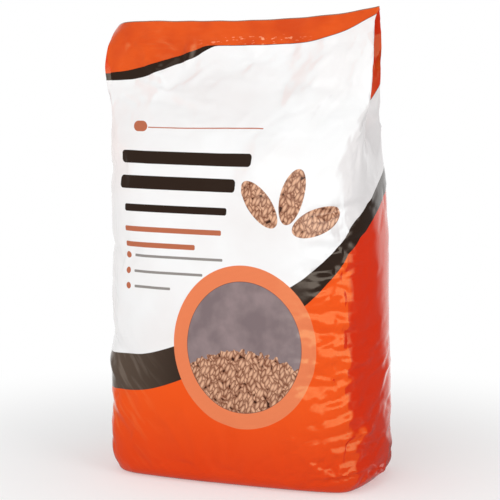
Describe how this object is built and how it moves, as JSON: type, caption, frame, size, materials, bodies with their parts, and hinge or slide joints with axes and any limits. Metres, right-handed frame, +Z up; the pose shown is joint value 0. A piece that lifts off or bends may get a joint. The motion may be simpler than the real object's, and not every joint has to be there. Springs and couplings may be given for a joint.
{
  "type": "cat litter bag",
  "caption": "Sealed side-gusseted film bag full of wood-pellet cat litter, standing upright, with a flat sealed top and creased, printed film.",
  "frame": {"origin": "on the floor under the middle of the bag's bounding box", "axes": "+Z up through the sealed top, -Y out of the printed front, +X to the right seen from the front"},
  "size_m": [0.4048, 0.2226, 0.646],
  "materials": {
    "printed_film": "glossy blown polythene film printed in orange, white and dark brown"
  },
  "bodies": {
    "root": {"litter_bag": "printed_film"}
  },
  "joints": []
}
